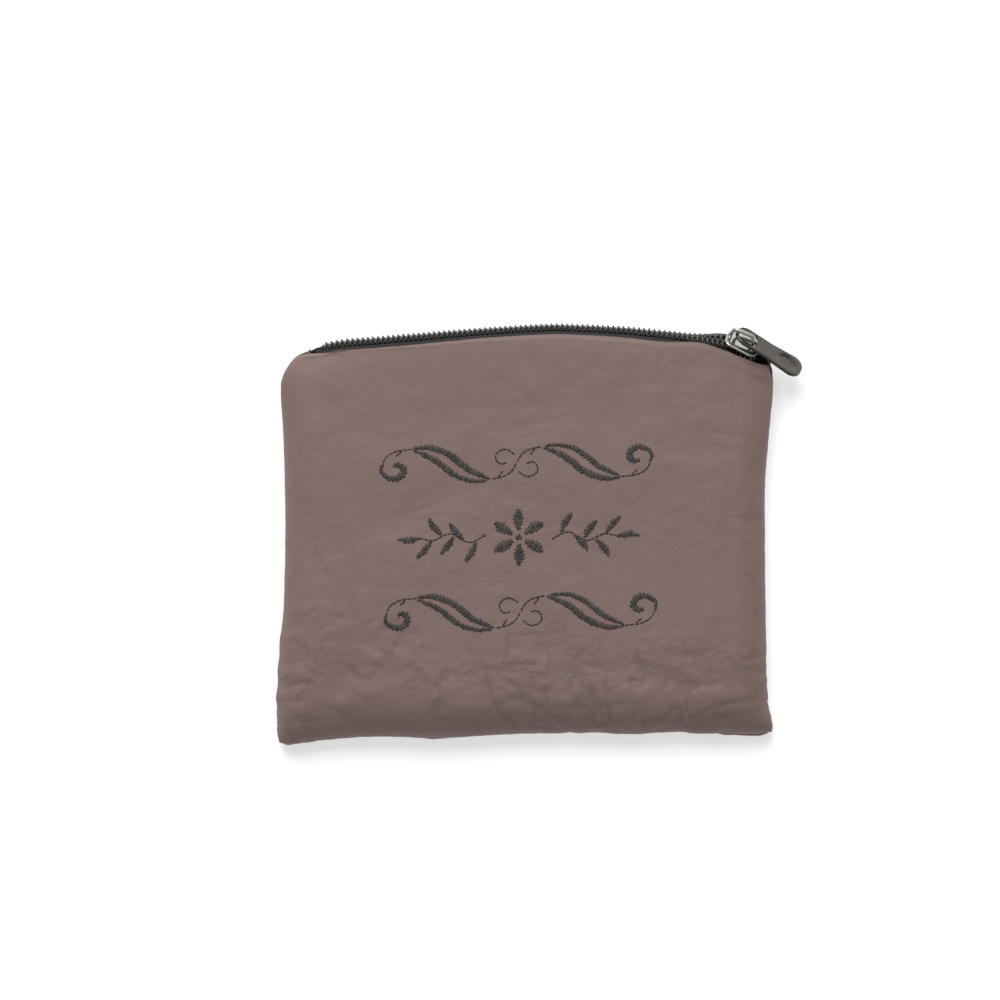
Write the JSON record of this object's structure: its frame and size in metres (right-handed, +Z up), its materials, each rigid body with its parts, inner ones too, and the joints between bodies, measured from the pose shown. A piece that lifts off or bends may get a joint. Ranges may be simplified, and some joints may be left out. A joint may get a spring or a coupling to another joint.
{
  "type": "coin purse",
  "caption": "Flat zip coin purse in crinkled faux leather with embroidered scroll bands and a swinging metal zip pull.",
  "frame": {"origin": "middle of the flat patch of the back panel that the purse rests on, as it lies on its back", "axes": "+X along the zip towards its closed end, where the slider is; +Y from the bottom seam to the zip; +Z up, out of the front panel"},
  "size_m": [0.1322, 0.1058, 0.0137],
  "materials": {
    "leatherette": "matte, crinkled",
    "zip_tape": "woven, dark grey",
    "zip_coil": "satin nylon, dark grey",
    "slider_metal": "gunmetal, lightly polished"
  },
  "bodies": {
    "purse": {"front_panel": "leatherette", "back_panel": "leatherette", "tape_front": "zip_tape", "tape_back": "zip_tape", "coil_front": "zip_coil", "coil_back": "zip_coil", "slider": "slider_metal"},
    "pull": {"pull_tab": "slider_metal"}
  },
  "joints": [
    {"name": "pull_swing", "type": "hinge", "parent": "purse", "child": "pull", "pos_m": [0.05327, 0.05068, 0.00953], "axis": [-0.2754, -0.5825, 0.7648], "range_deg": [0, 150]}
  ]
}
